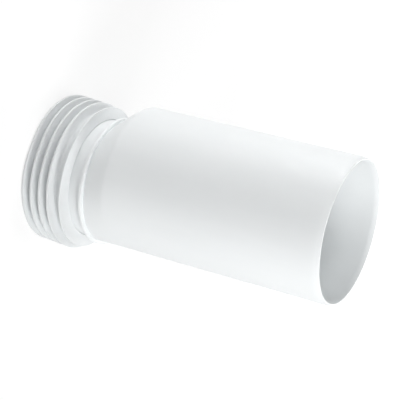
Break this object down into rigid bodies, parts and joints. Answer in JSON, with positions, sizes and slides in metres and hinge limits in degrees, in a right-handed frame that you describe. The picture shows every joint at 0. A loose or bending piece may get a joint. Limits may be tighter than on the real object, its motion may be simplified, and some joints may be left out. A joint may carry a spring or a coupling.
{
  "type": "offset toilet extension",
  "caption": "Straight toilet waste extension tube with an open socket at one end and, at the other, an offset stepped-down spigot that carries a soft finned push-in seal.",
  "frame": {"origin": "on the axis of the finned seal, at its lower end face", "axes": "+Z along the tube from the sealed end up to the open socket; the socket's axis lies 8 mm to -X of the seal's axis"},
  "size_m": [0.1222, 0.1184, 0.2447],
  "materials": {
    "tube_plastic": "white moulded polypropylene, satin gloss",
    "seal_rubber": "soft white elastomer, matt"
  },
  "bodies": {
    "root": {"extension_tube": "tube_plastic", "finned_seal": "seal_rubber"}
  },
  "joints": []
}
